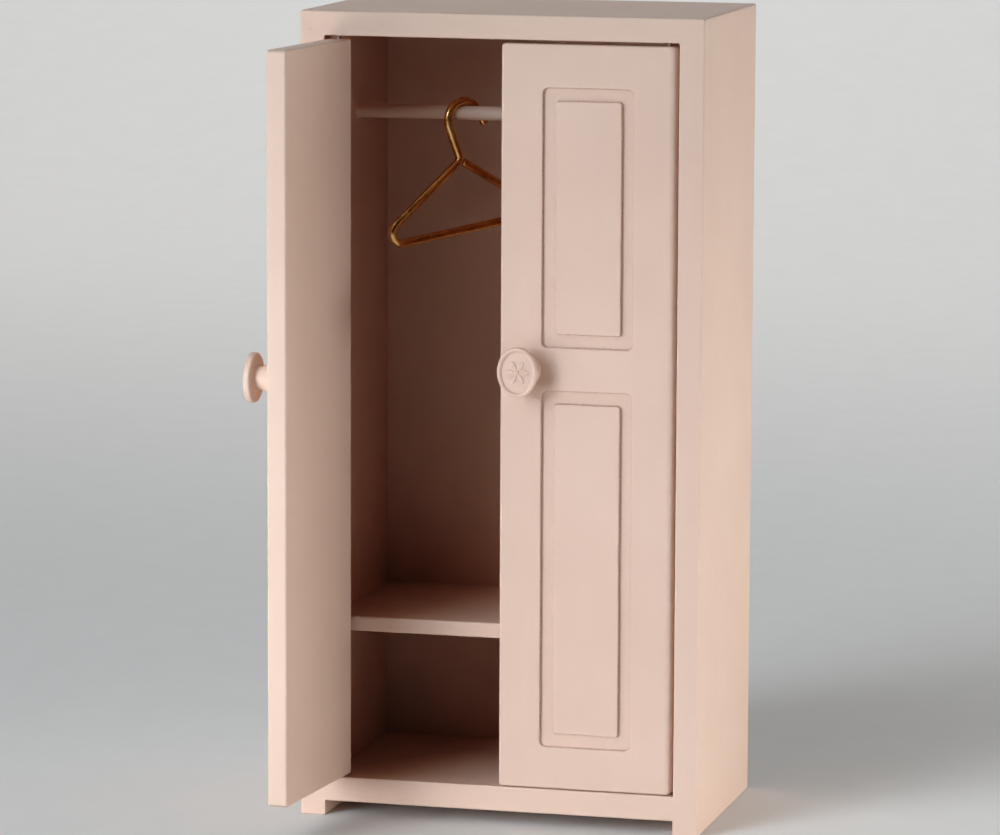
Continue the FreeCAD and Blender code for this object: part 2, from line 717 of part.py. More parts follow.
def hanger():
    """One bent wire: hook, neck, shoulder, bar, shoulder, with its end against the neck.

    The body's X runs along the bar and Z towards the neck; the origin is on the bar's
    centreline under the neck's bend.
    """
    rise = size("hanger_rise")
    middle = vector(0, 0)
    left = vector(-size("hanger_left_reach"), 0)
    right = vector(size("hanger_right_reach"), 0)
    neck = vector(0, rise)

    slope = math.radians(size("bar_slope"))
    across, up = size("hook_across"), size("hook_rise")
    hook = neck + vector(across * math.cos(slope) + up * math.sin(slope),
                         up * math.cos(slope) - across * math.sin(slope))
    radius = size("hook_radius")
    to_hook = hook - neck
    lean = math.asin(radius / to_hook.Length)
    heading = math.atan2(to_hook.y, to_hook.x) + lean
    shank = math.sqrt(to_hook.Length ** 2 - radius ** 2)
    hook_start = neck + vector(math.cos(heading), math.sin(heading)) * shank
    end_angle = math.radians(size("hook_end_angle")) - slope
    hook_end = hook + vector(math.cos(end_angle), math.sin(end_angle)) * radius
    tip = hook_end + vector(math.sin(end_angle), -math.cos(end_angle)) * size("hook_tail")
    hook_top = hook + vector(0, radius)

    left_bend = bend(middle, left, neck, size("corner_bend"))
    neck_turn = bend(left, neck, hook_start, size("neck_bend"))
    right_bend = bend(middle, right, neck, size("corner_bend"))

    body = new_body("clothes_hanger")
    section = new_sketch(body, "YZ_Plane", "wire_section")
    circle(section, "0", "0", "Dims.wire_radius")

    long_way = [
        (middle, left_bend[0]), left_bend, (left_bend[2], neck_turn[0]), neck_turn,
        (neck_turn[2], hook_start), (hook_start, hook_top, hook_end), (hook_end, tip),
    ]
    short_way = [(middle, right_bend[0]), right_bend, (right_bend[2], neck)]
    for name, pieces in (("hook_run", long_way), ("shoulder_run", short_way)):
        path = path_sketch(body, name, pieces)
        pipe = body.newObject("PartDesign::AdditivePipe", f"clothes_hanger_{name}")
        pipe.Profile = section
        pipe.Spine = path
        pipe.Transition = "Right corner"
        doc.recompute()

    # The bar slopes, the hanger's plane turns about the upright, and the hook rests on the rail.
    turn = FreeCAD.Rotation(Z_AXIS, size("hanger_yaw")) * FreeCAD.Rotation(Y_AXIS, -size("bar_slope"))
    top = turn.multVec(FreeCAD.Vector(hook.x, 0, hook.y))
    seat = size("rail_radius") + size("wire_radius") + size("rail_clearance")
    hook_height = size("rail_height") + seat - radius
    body.Placement = FreeCAD.Placement(
        FreeCAD.Vector(size("hanger_along") - top.x, size("rail_back") - top.y,
                       hook_height - top.z), turn)
    return body


# ---------------------------------------------------------------- assembly

left_side = side_panel("left_side_panel", -1)
right_side = side_panel("right_side_panel", 1)
top_board = lying_panel("top_panel", "Dims.top_thickness", BOARD_HIGH, False)
bottom_board = lying_panel("bottom_panel", "Dims.bottom_thickness", "Dims.foot_height", True)
shelf()
back_panel()
bore_for_brads([left_side, right_side, top_board, bottom_board])

ALONG_X = FreeCAD.Rotation(Y_AXIS, 90)
INTO_BACK = FreeCAD.Rotation(X_AXIS, 90)
half_depth = size("carcass_depth") / 2


def cross_rods(label, heights, places, radius, depth):
    """Short rods along X that join the side panels to a board, two at each end."""
    rods = []
    for hand, side in ((-1, "left"), (1, "right")):
        for z in heights:
            for count, place_from_front in enumerate(places, start=1):
                base = FreeCAD.Vector(hand * inner_half - size(depth),
                                      place_from_front - half_depth, z)
                rods.append(rod(f"{label}_{side}_{count}", f"Dims.{radius}", f"2 * Dims.{depth}",
                                FreeCAD.Placement(base, ALONG_X)))
    return group(label, rods)


dowel_places = (size("dowel_front"), size("carcass_depth") - size("dowel_front"))
peg_places = (size("peg_front"),
              size("carcass_depth") - size("back_thickness") - size("peg_front"))
cross_rods("top_panel_dowels", [size("carcass_height") - size("top_thickness") / 2],
           dowel_places, "dowel_radius", "dowel_depth")
cross_rods("bottom_panel_dowels", [size("foot_height") + size("bottom_thickness") / 2],
           dowel_places, "dowel_radius", "dowel_depth")
cross_rods("shelf_pegs", [size("shelf_top") - size("shelf_thickness") / 2],
           peg_places, "peg_radius", "peg_depth")

rail_start = FreeCAD.Vector(-inner_half - size("rail_depth"), size("rail_back"),
                            size("rail_height"))
keep(rod("hanging_rail", "Dims.rail_radius", f"2 * ({INNER_HALF} + Dims.rail_depth)",
         FreeCAD.Placement(rail_start, ALONG_X)), "hanging_rail")

brads = []
for count, (x, z) in enumerate(brad_places(), start=1):
    shank = rod(f"brad_shank_{count}", "Dims.brad_radius", "Dims.brad_length",
                FreeCAD.Placement(FreeCAD.Vector(), INTO_BACK))
    head = rod(f"brad_head_{count}", "Dims.brad_head_radius", "Dims.brad_head_height",
               FreeCAD.Placement(FreeCAD.Vector(), INTO_BACK))
    brad = doc.addObject("Part::Fuse", f"brad_{count}")
    brad.Base, brad.Tool = shank, head
    place(brad, x=x, y=HALF_DEPTH, z=z)
    brads.append(brad)
group("back_panel_brads", brads)


def door_placement(hand, opening):
    """Where a door stands. hand is 1 for the left door, which opens clockwise from above."""
    base = FreeCAD.Vector(-hand * pin_x, pin_y, door_low)
    return FreeCAD.Placement(base, FreeCAD.Rotation(Z_AXIS, -hand * opening))


for label, hand, opening, turned in (
        ("left", 1, size("left_door_opening"), size("left_knob_turn")), ("right", -1, 0.0, 0.0)):
    standing = door_placement(hand, opening)
    door(f"{label}_door", hand, standing)
    seat = FreeCAD.Vector(hand * (door_reach - size("knob_free_margin")),
                          -size("door_thickness") / 2, size("knob_height"))
    upright = FreeCAD.Rotation(X_AXIS, 90) * FreeCAD.Rotation(Z_AXIS, turned)
    knob(f"{label}_knob", standing * FreeCAD.Placement(seat, upright))
    pin_length = "Dims.pin_in_board + Dims.pin_in_door"
    upper = standing * FreeCAD.Placement(
        FreeCAD.Vector(0, 0, door_height - size("pin_in_door")), NO_TURN)
    lower_base = FreeCAD.Vector(0, 0, -size("door_bottom_gap") - size("pin_in_board") + size("pin_play"))
    lower = standing * FreeCAD.Placement(lower_base, NO_TURN)
    keep(rod(f"{label}_door_top_pin", "Dims.pin_radius", f"{pin_length}", upper),
         f"{label}_door_top_pin")
    keep(rod(f"{label}_door_bottom_pin", "Dims.pin_radius",
             f"{pin_length} + Dims.door_bottom_gap - Dims.pin_play", lower),
         f"{label}_door_bottom_pin")

hanger()
doc.recompute()

# ---------------------------------------------------------------- checks and export

for obj in doc.Objects:
    bad = [state for state in obj.State if state in ("Invalid", "Error")]
    if bad:
        raise RuntimeError(f"{obj.Name} is {bad}")
for part in subparts:
    if part.Shape.isNull() or not part.Shape.isValid() or not part.Shape.Solids:
        raise RuntimeError(f"{part.Label} has no valid solid")

os.makedirs("parts", exist_ok=True)
for part in subparts:
    part.Shape.exportStep(f"parts/{part.Label}.step")
    box = part.Shape.BoundBox
    print(f"{part.Label:24s} solids {len(part.Shape.Solids):2d}  volume {part.Shape.Volume:9.1f}  "
          f"x {box.XMin:7.2f} {box.XMax:7.2f}  y {box.YMin:7.2f} {box.YMax:7.2f}  "
          f"z {box.ZMin:7.2f} {box.ZMax:7.2f}")
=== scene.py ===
"""Looks of the miniature wardrobe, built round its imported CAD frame.

Painted boards, doors and knobs are skins through rings of points; the clothes hanger is a wire
swept along its own line. Shapes are worked out in millimetres in the frame's axes, X to the
right, Y to the back, Z up, and turned into metres when the meshes are made.
"""
import json
import math

import bmesh
import bpy
import numpy as np
from mathutils import Matrix, Vector, noise


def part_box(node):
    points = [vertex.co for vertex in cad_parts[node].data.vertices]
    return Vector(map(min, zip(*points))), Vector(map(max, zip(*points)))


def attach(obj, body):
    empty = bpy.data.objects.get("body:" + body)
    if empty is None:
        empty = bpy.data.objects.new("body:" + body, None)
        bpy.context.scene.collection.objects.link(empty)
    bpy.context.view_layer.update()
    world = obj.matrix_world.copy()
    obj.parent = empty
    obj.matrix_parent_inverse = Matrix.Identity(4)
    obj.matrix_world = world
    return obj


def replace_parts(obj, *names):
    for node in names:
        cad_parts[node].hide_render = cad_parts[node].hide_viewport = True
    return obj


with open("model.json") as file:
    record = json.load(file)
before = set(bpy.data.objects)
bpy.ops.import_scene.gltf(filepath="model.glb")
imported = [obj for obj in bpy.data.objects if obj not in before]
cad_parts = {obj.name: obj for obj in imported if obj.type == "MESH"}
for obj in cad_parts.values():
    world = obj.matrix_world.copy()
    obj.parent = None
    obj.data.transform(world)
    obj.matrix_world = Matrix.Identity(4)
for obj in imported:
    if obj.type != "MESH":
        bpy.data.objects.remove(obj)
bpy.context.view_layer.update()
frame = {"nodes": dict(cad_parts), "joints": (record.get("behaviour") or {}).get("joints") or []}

MM = 0.001
ARC_STEPS = 6
CUT_ROUND = 0.01      # corners that look sharp
REBATE_ROUND = 0.005  # corners inside the rebates for the back
ALMOST = 0.03         # least radius of a corner that narrows towards an end
EDGE_MARKED = 0.1     # corners rounder than this can show wear and a painted highlight
END_WEAR_AND_HIGHLIGHT = 0.6        # extra wear and painted highlight where a board or door rounds off at its ends
BOARD_STEP = 6.0
DEPTH_STEP = 7.0

OUTER_ROUND = 0.5
OPENING_ROUND = 0.36
FOOT_ROUND = 0.35
SEAM_ROUND = 0.02
SEAM_TURN = 0.35      # length over which an opening's edge sharpens towards a seam
SEAM_LAP = 0.08
FINISH_SWELL = 0.045
FINISH_SCALE = 0.085

DOOR_OPENING = 95.0
DOOR_HINGE_EDGE = 2.45
DOOR_HINGE_FRONT = 2.0
DOOR_HINGE_BACK = 1.0
DOOR_EDGE = 0.5
DOOR_HINGE_CORNER = 1.1
DOOR_FREE_CORNER = 0.9
PANEL_MARGIN = 10.15
PANEL_WIDTH = 22.45
PANEL_LEVELS = ((10.3, 97.65), (108.1, 170.65))
GROOVE_FREE, GROOVE_HINGE, GROOVE_TOP, GROOVE_BOTTOM = 3.4, 3.0, 3.2, 3.3
GROOVE_DEPTH = 0.9
GROOVE_OUTER_ROUND = 1.5
GROOVE_INNER_ROUND = 0.6
GROOVE_WALL = 0.2
GROOVE_WANDER = 0.045
WALL_SPAN, WALL_STEP, ROUND_STEP = 0.3, 0.05, 0.13
LIP_DROP, LIP_REACH = 0.03, 0.25
NICK_RARITY, NICK_REACH = 0.28, 0.35
SHADE_PLACE, SHADE_REACH = 0.1, 0.16
KNOB_MARGIN = 5.7
KNOB_HEIGHT = 102.6
LEFT_KNOB_TURN = 10.0

SHELF_LOW_ROUND, SHELF_HIGH_ROUND = 0.35, 0.55
BEAD_PLACE, BEAD_RISE, BEAD_WIDTH, BEAD_DEPTH = 6.4, 0.3, 0.45, 0.9
RAIL_AROUND = 40
FILLET_SWELL, FILLET_REACH, FILLET_BURIED = 0.4, 0.22, 0.5


# ---------------------------------------------------------------- measures from the frame

def cad(node):
    """Lowest and highest corner of a CAD node, in millimetres."""
    low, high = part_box(node)
    return np.array(low) / MM, np.array(high) / MM


def joint(name):
    return next(j for j in frame["joints"] if j["name"] == name)


# ---------------------------------------------------------------- mesh helpers

def spread(start, end, step):
    """Evenly spaced values from start to end, both included."""
    count = max(2, int(round(abs(end - start) / step)) + 1)
    return list(np.linspace(start, end, count))


def thinned(values, gap):
    """Sorted values with no two nearer than gap."""
    kept = []
    for value in sorted(values):
        if not kept or value - kept[-1] > gap:
            kept.append(value)
    return kept


def outline(corners, lines):
    """Points round a polygon of right angles with rounded corners, and how rounded each is.

    corners are (x, y, radius); lines gives, for the side after each corner, the places of
    extra points, in the order in which the side runs. Returns the points, a mark that is 1 on
    the middle of a rounding, and the side that each point is on (-1 at a corner).
    """
    points, edge, side = [], [], []
    for i, (x, y, radius) in enumerate(corners):
        here = np.array((x, y))
        back = np.array(corners[i - 1][:2]) - here
        ahead = np.array(corners[(i + 1) % len(corners)][:2]) - here
        back, ahead = back / np.linalg.norm(back), ahead / np.linalg.norm(ahead)
        centre = here + radius * (back + ahead)
        beside = radius + min(0.15, 0.4 * radius)
        points.append(here + beside * back)
        for k in range(ARC_STEPS + 1):
            angle = math.pi / 2 * k / ARC_STEPS
            points.append(centre - radius * (ahead * math.cos(angle) + back * math.sin(angle)))
        points.append(here + beside * ahead)
        rounding = [math.sin(math.pi * k / (ARC_STEPS + 2)) for k in range(ARC_STEPS + 3)]
        edge += rounding if radius > EDGE_MARKED else [0.0] * len(rounding)
        side += [-1] * len(rounding)
        for place in lines[i]:
            points.append(np.array((x, place) if abs(ahead[0]) < 0.5 else (place, y)))
            edge.append(0.0)
            side.append(i)
    return np.array(points), np.array(edge), np.array(side)


def drawn_in(distance, radius):
    """How far a section is drawn in, at a distance from an end with rounded edges."""
    if distance >= radius:
        return 0.0
    return radius - math.sqrt(radius ** 2 - (radius - distance) ** 2)


def end_levels(low, high, radius):
    """Levels that follow a rounded edge at both ends of a piece."""
    turns = [radius * (1 - math.cos(math.pi / 2 * k / ARC_STEPS)) for k in range(ARC_STEPS + 1)]
    return [low + t for t in turns] + [high - t for t in turns]


def skin(rings):
    """Faces of a closed skin through rings of equal length, with flat ends."""
    around = len(rings[0])
    faces = []
    for i in range(len(rings) - 1):
        for j in range(around):
            k = (j + 1) % around
            faces.append((i * around + j, i * around + k,
                          (i + 1) * around + k, (i + 1) * around + j))
    faces.append(tuple(reversed(range(around))))
    faces.append(tuple(range((len(rings) - 1) * around, len(rings) * around)))
    return faces


def piece(name, points, faces, body, material, marks=None, sharp=40.0):
    """A mesh piece in place, riding on a body, with its marks kept as point attributes."""
    mesh = bpy.data.meshes.new(name)
    mesh.from_pydata([tuple(p) for p in np.asarray(points) * MM], [], faces)
    for mark, values in (marks or {}).items():
        attribute = mesh.attributes.new(mark, "FLOAT", "POINT")
        attribute.data.foreach_set("value", np.asarray(values, np.float32))
    shaped = bmesh.new()
    shaped.from_mesh(mesh)
    bmesh.ops.recalc_face_normals(shaped, faces=shaped.faces)
    shaped.to_mesh(mesh)
    shaped.free()
    mesh.shade_smooth()
    mesh.set_sharp_from_angle(angle=math.radians(sharp))
    mesh.materials.append(material)
    made = bpy.data.objects.new(name, mesh)
    bpy.context.scene.collection.objects.link(made)
    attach(made, body)
    return made


def rough(point, scale, seed):
    """Smooth noise from -1 to 1 at a point in millimetres."""
    return noise.noise(Vector(point) * scale + Vector((seed, seed * 0.37, -seed)))


def hand_finish(points, normals, swell, scale, seed):
    """Draw points a little inwards along their normals, unevenly, as sanding and paint do."""
    moved = points.copy()
    for i, (p, n) in enumerate(zip(points, normals)):
        amount = swell * 0.5 * (rough(p, scale, seed) + 0.4 * rough(p, scale * 3.1, seed + 7) - 1)
        moved[i] = p + n * amount
    return moved


def outward(points, faces):
    """Vertex normals of a closed skin, pointing out of it."""
    mesh = bpy.data.meshes.new("scratch")
    mesh.from_pydata([tuple(p) for p in points], [], faces)
    shaped = bmesh.new()
    shaped.from_mesh(mesh)
    bmesh.ops.recalc_face_normals(shaped, faces=shaped.faces)
    shaped.verts.ensure_lookup_table()
    normals = np.array([v.normal for v in shaped.verts])
    shaped.free()
    bpy.data.meshes.remove(mesh)
    return normals


# ---------------------------------------------------------------- node materials

def new_material(name):
    material = bpy.data.materials.new(name)
    material.use_nodes = True
    nodes = material.node_tree.nodes
    nodes.clear()
    shader = nodes.new("ShaderNodeBsdfPrincipled")
    output = nodes.new("ShaderNodeOutputMaterial")
    material.node_tree.links.new(shader.outputs["BSDF"], output.inputs["Surface"])
    return material, nodes, material.node_tree.links, shader


def coordinates(nodes, links, scale=(1.0, 1.0, 1.0)):
    place = nodes.new("ShaderNodeTexCoord")
    mapping = nodes.new("ShaderNodeMapping")
    mapping.inputs["Scale"].default_value = scale
    links.new(place.outputs["Object"], mapping.inputs["Vector"])
    return mapping.outputs["Vector"]


def noise_node(nodes, links, vector, scale, detail=4.0, roughness=0.5, distortion=0.0):
    node = nodes.new("ShaderNodeTexNoise")
    node.inputs["Scale"].default_value = scale
    node.inputs["Detail"].default_value = detail
    node.inputs["Roughness"].default_value = roughness
    node.inputs["Distortion"].default_value = distortion
    links.new(vector, node.inputs["Vector"])
    return node.outputs["Fac"]


def ramp(nodes, links, factor, stops):
    node = nodes.new("ShaderNodeValToRGB")
    elements = node.color_ramp.elements
    while len(elements) < len(stops):
        elements.new(0.5)
    for element, (position, colour) in zip(elements, stops):
        element.position = position
        element.color = (*colour, 1.0)
    links.new(factor, node.inputs["Fac"])
    return node.outputs["Color"]


def grey(value):
    return (value, value, value)


def mix(nodes, links, blend, factor, a, b):
    node = nodes.new("ShaderNodeMix")
    node.data_type = "RGBA"
    node.blend_type = blend
    for socket, value in ((node.inputs[0], factor), (node.inputs[6], a), (node.inputs[7], b)):
        if isinstance(value, bpy.types.NodeSocket):
            links.new(value, socket)
        else:
            socket.default_value = value if isinstance(value, float) else (*value, 1.0)
    return node.outputs[2]


def product(nodes, links, a, b):
    node = nodes.new("ShaderNodeMath")
    node.operation = "MULTIPLY"
    for socket, value in zip(node.inputs, (a, b)):
        if isinstance(value, bpy.types.NodeSocket):
            links.new(value, socket)
        else:
            socket.default_value = value
    return node.outputs[0]


def bump(nodes, links, height, distance, normal=None):
    node = nodes.new("ShaderNodeBump")
    node.inputs["Distance"].default_value = distance
    node.inputs["Strength"].default_value = 1.0
    links.new(height, node.inputs["Height"])
    if normal is not None:
        links.new(normal, node.inputs["Normal"])
    return node.outputs["Normal"]


def mark(nodes, name):
    """A mesh's own mark, which is 0 on a piece that doesn't carry it."""
    node = nodes.new("ShaderNodeAttribute")
    node.attribute_name = name
    return node.outputs["Fac"]


def uneven_roughness(nodes, links, shader, factor, low, high):
    node = nodes.new("ShaderNodeMapRange")
    node.inputs["To Min"].default_value = low
    node.inputs["To Max"].default_value = high
    links.new(factor, node.inputs["Value"])
    links.new(node.outputs["Result"], shader.inputs["Roughness"])


PAINT = (0.72, 0.505, 0.402)
# Lighter paint for the rounded edges, partly worn paint and partly a painted highlight.
WORN_AND_LIT_PAINT = (0.83, 0.68, 0.6)
# Brown of the painted shade in the door grooves and the knob's recessed field.
PAINTED_SHADE_COLOUR = (0.42, 0.23, 0.165)
EDGE_WEAR_AND_HIGHLIGHT = 0.22


def paint(name, grain):
    """Satin eggshell paint over fine-grained wood; grain stretches the brush and wood marks."""
    material, nodes, links, shader = new_material(name)
    plain = coordinates(nodes, links)
    along = coordinates(nodes, links, grain)

    cloud = noise_node(nodes, links, plain, 28.0, 3.0, 0.55)
    light = tuple(min(1.0, c * 1.025) for c in PAINT)
    deep = tuple(c * k for c, k in zip(PAINT, (0.965, 0.95, 0.94)))
    colour = ramp(nodes, links, cloud, ((0.3, deep), (0.72, light)))

    streaks = noise_node(nodes, links, along, 520.0, 5.0, 0.6)
    colour = mix(nodes, links, "MULTIPLY", 0.3, colour,
                 ramp(nodes, links, streaks, ((0.3, grey(0.955)), (0.68, grey(1.0)))))

    specks = noise_node(nodes, links, plain, 2300.0, 2.0, 0.4)
    colour = mix(nodes, links, "MULTIPLY", 0.5, colour,
                 ramp(nodes, links, specks, ((0.205, (0.72, 0.62, 0.56)), (0.245, grey(1.0)))))

    # Rounded edges are lightened in noisy patches: partly worn paint, partly a painted highlight.
    wear_and_highlight_noise = noise_node(nodes, links, plain, 340.0, 4.0, 0.62)
    worn_and_lit = product(nodes, links, mark(nodes, "edge"),
                   ramp(nodes, links, wear_and_highlight_noise, ((0.42, grey(0.0)), (0.66, grey(1.0)))))
    colour = mix(nodes, links, "MIX", product(nodes, links, worn_and_lit, EDGE_WEAR_AND_HIGHLIGHT), colour,
                 WORN_AND_LIT_PAINT)

    # Painted shade: where the mark is set, in the door grooves and round the knob's recessed field,
    # the paint is darkened towards a brown shade colour, broken up by noise.
    patchy = noise_node(nodes, links, plain, 1400.0, 3.0, 0.6)
    painted_shade_amount = product(nodes, links, mark(nodes, "painted_shade"),
                      ramp(nodes, links, patchy, ((0.4, grey(0.1)), (0.66, grey(0.6)))))
    colour = mix(nodes, links, "MIX", painted_shade_amount, colour, PAINTED_SHADE_COLOUR)
    links.new(colour, shader.inputs["Base Color"])

    sheen = noise_node(nodes, links, plain, 90.0, 4.0, 0.6)
    uneven_roughness(nodes, links, shader, sheen, 0.40, 0.56)
    shader.inputs["IOR"].default_value = 1.45
    shader.inputs["Specular IOR Level"].default_value = 0.42

    peel = noise_node(nodes, links, plain, 1500.0, 3.0, 0.5)
    normal = bump(nodes, links, peel, 0.000035)
    normal = bump(nodes, links, streaks, 0.00004, normal=normal)
    links.new(normal, shader.inputs["Normal"])
    return material


def gilt():
    """Polished brass-coloured wire with faint drawing lines and a little tarnish."""
    material, nodes, links, shader = new_material("gilt_wire")
    plain = coordinates(nodes, links)
    patches = noise_node(nodes, links, plain, 260.0, 4.0, 0.6)
    colour = ramp(nodes, links, patches,
                  ((0.3, (0.6, 0.33, 0.12)), (0.5, (0.86, 0.53, 0.22)), (0.72, (0.96, 0.67, 0.35))))
    links.new(colour, shader.inputs["Base Color"])
    shader.inputs["Metallic"].default_value = 1.0
    smudges = noise_node(nodes, links, plain, 700.0, 5.0, 0.65)
    uneven_roughness(nodes, links, shader, smudges, 0.16, 0.34)
    fine = noise_node(nodes, links, plain, 4200.0, 2.0, 0.5)
    links.new(bump(nodes, links, fine, 0.00001), shader.inputs["Normal"])
    return material


def steel():
    """Dull reddish steel with faint turning marks."""
    material, nodes, links, shader = new_material("steel_pin")
    plain = coordinates(nodes, links)
    patches = noise_node(nodes, links, plain, 900.0, 4.0, 0.6)
    links.new(ramp(nodes, links, patches, ((0.3, (0.33, 0.23, 0.2)), (0.7, (0.5, 0.37, 0.33)))),
              shader.inputs["Base Color"])
    shader.inputs["Metallic"].default_value = 0.5
    uneven_roughness(nodes, links, shader, patches, 0.45, 0.65)
    turned = coordinates(nodes, links, (1.0, 1.0, 12.0))
    rings = noise_node(nodes, links, turned, 900.0, 2.0, 0.5)
    links.new(bump(nodes, links, rings, 0.00001), shader.inputs["Normal"])
    return material


def birch():
    """Bare birch with its grain along X."""
    material, nodes, links, shader = new_material("birch_dowel")
    grain = coordinates(nodes, links, (0.12, 1.0, 1.0))
    fibres = noise_node(nodes, links, grain, 2600.0, 6.0, 0.65, 0.3)
    links.new(ramp(nodes, links, fibres, ((0.32, (0.55, 0.38, 0.22)), (0.66, (0.8, 0.64, 0.44)))),
              shader.inputs["Base Color"])
    uneven_roughness(nodes, links, shader, fibres, 0.55, 0.75)
    links.new(bump(nodes, links, fibres, 0.00004), shader.inputs["Normal"])
    return material


upright_paint = paint("painted_wood_upright", (1.0, 1.0, 0.07))
lying_paint = paint("painted_wood_lying", (0.07, 1.0, 1.0))
knob_paint = paint("painted_knob", (1.0, 1.0, 1.0))
gilt_wire = gilt()
steel_pin = steel()
birch_dowel = birch()


# ---------------------------------------------------------------- carcass boards

left_low, left_high = cad("left_side_panel")
top_low, top_high = cad("top_panel")
bottom_low, bottom_high = cad("bottom_panel")
back_low, back_high = cad("back_panel")

# Small hollows in the paint of the front, as X, Z, radius and depth.
DENTS = (
    (-46.9, 193.6, 0.3, 0.16),
    (-29.4, 194.9, 0.28, 0.14),
    (28.1, 192.9, 0.32, 0.2),
    (46.6, 120.4, 0.25, 0.08),
    (12.3, 6.1, 0.3, 0.08),
)


def dent_lines(axis):
    return [d[axis] + k * d[2] * 0.6 for d in DENTS for k in range(-3, 4)]


def dented(points):
    moved = points.copy()
    on_front = np.abs(points[:, 1] - left_low[1]) < 2 * FINISH_SWELL
    for x, z, radius, depth in DENTS:
        away = (points[:, 0] - x) ** 2 + (points[:, 2] - z) ** 2
        moved[:, 1] += on_front * depth * np.exp(-away / radius ** 2)
    return moved


def carcass_piece(name, rings, edges, material):
    points = np.concatenate(rings)
    faces = skin(rings)
    points = hand_finish(points, outward(points, faces), FINISH_SWELL, FINISH_SCALE, 3.0)
    return piece(name, dented(points), faces, "cabinet", material,
                 {"edge": np.concatenate(edges)})


def side_panel(name, hand):
    """hand is -1 for the left panel and 1 for the right one."""
    x0, y0, z0 = left_low
    x1, y1, z1 = left_high
    opening_low, opening_high = bottom_high[2], top_low[2]
    levels = spread(z0 + 1, z1 - 1, BOARD_STEP) + end_levels(z0, z1, OUTER_ROUND)
    levels += [z + step for z in (opening_low, opening_high)
               for step in (-SEAM_TURN, -0.12, 0, 0.12, SEAM_TURN)]
    levels += [z + step for z in (back_low[2], back_high[2]) for step in (-0.02, 0.02)]
    levels += [z for z in dent_lines(1) if z0 + 1 < z < z1 - 1]
    depths = spread(y0 + 1.2, y1 - 4.5, DEPTH_STEP)
    widths = [x0 + 0.9, x0 + 2.2, x1 - 2.2, x1 - 0.8]
    widths += [hand * x for x in dent_lines(0) if x0 + 0.9 < hand * x < x1 - 0.9]
    widths = thinned(widths, 0.05)
    behind = [x1 - 4.0, x0 + 1.2]
    rings, edges = [], []
    for z in thinned(levels, 0.015):
        at_top = drawn_in(z1 - z, OUTER_ROUND)
        at_foot = drawn_in(z - z0, FOOT_ROUND)
        both = max(at_top, at_foot)
        inside = min(z - opening_low, opening_high - z)
        share = min(1.0, max(0.0, inside / SEAM_TURN + 0.1))
        inner = SEAM_ROUND + (OPENING_ROUND - SEAM_ROUND) * share
        inner *= 1 + 0.25 * rough((0, 0, z), 0.09, 5.0 + hand)
        outer = OUTER_ROUND * (1 + 0.15 * rough((0, 0, z), 0.06, 9.0 + hand)) - both
        outer = max(ALMOST, outer)
        rebated = back_low[2] < z < back_high[2]
        step_x = back_low[0] if rebated else x1 - at_foot - ALMOST
        step_y = back_low[1] if rebated else y1 - 1.0
        low_x, high_x, low_y, high_y = x0 + both, x1 - at_foot, y0 + both, y1 - both
        ring, edge, _ = outline(
            ((low_x, low_y, outer), (high_x, low_y, inner), (high_x, step_y, REBATE_ROUND),
             (step_x, step_y, REBATE_ROUND), (step_x, high_y, CUT_ROUND),
             (low_x, high_y, outer)),
            (widths, depths, [], [], behind, depths[::-1]))
        rings.append(np.column_stack([-hand * ring[:, 0], ring[:, 1], np.full(len(ring), z)]))
        edges.append(edge + (END_WEAR_AND_HIGHLIGHT if both > 0 else 0.0))
    return carcass_piece(name, rings, edges, upright_paint)


def lying_panel(name, low, high, inside_up):
    """A board between the side panels, lapped a hair into them under the paint.

    inside_up is true for the bottom board.
    """
    x0, y0, z0 = low
    x1, y1, z1 = high
    rebate_y = back_low[1]
    levels = spread(x0 + 2, x1 - 2, BOARD_STEP)
    levels += [x for end, inwards in ((x0, 1), (x1, -1))
               for x in (end - inwards * SEAM_LAP, end - inwards * 0.02, end, end + inwards * 0.15,
                         end + inwards * SEAM_TURN, end + inwards * 1.2)]
    levels += [x for x in dent_lines(0) if x0 + 1 < x < x1 - 1]
    depths = spread(y0 + 1.2, rebate_y - 1.2, DEPTH_STEP)
    heights = thinned([z0 + 1.0, z0 + 2.4, z1 - 2.4, z1 - 1.0]
                      + [z for z in dent_lines(1) if z0 + 0.9 < z < z1 - 0.9], 0.05)
    rings, edges = [], []
    for x in thinned(levels, 0.015):
        from_end = min(x - x0, x1 - x)
        lapped = SEAM_LAP / 2 if from_end < -0.03 else 0.0
        share = min(1.0, max(0.0, from_end / SEAM_TURN))
        opening = SEAM_ROUND + (OPENING_ROUND - SEAM_ROUND) * share
        opening *= 1 + 0.25 * rough((x, 0, 0), 0.09, 2.0 + inside_up)
        outer = OUTER_ROUND * (1 + 0.15 * rough((x, 0, 0), 0.06, 4.0))
        front_y, low_z, high_z = y0 + lapped, z0 + lapped, z1 - lapped
        if inside_up:
            corners = ((front_y, low_z, outer), (y1 - lapped, low_z, outer),
                       (y1 - lapped, back_low[2], CUT_ROUND), (rebate_y, back_low[2], CUT_ROUND),
                       (rebate_y, high_z, CUT_ROUND), (front_y, high_z, opening))
        else:
            corners = ((front_y, low_z, opening), (rebate_y, low_z, CUT_ROUND),
                       (rebate_y, back_high[2], CUT_ROUND),
                       (y1 - lapped, back_high[2], CUT_ROUND),
                       (y1 - lapped, high_z, outer), (front_y, high_z, outer))
        ring, edge, _ = outline(corners, (depths, [], [], [], depths[::-1], heights[::-1]))
        rings.append(np.column_stack([np.full(len(ring), x), ring[:, 0], ring[:, 1]]))
        edges.append(edge)
    return carcass_piece(name, rings, edges, lying_paint)


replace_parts(side_panel("left_side_board", -1), "left_side_panel")
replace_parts(side_panel("right_side_board", 1), "right_side_panel")
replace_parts(lying_panel("top_board", top_low, top_high, False), "top_panel")
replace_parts(lying_panel("bottom_board", bottom_low, bottom_high, True), "bottom_panel")


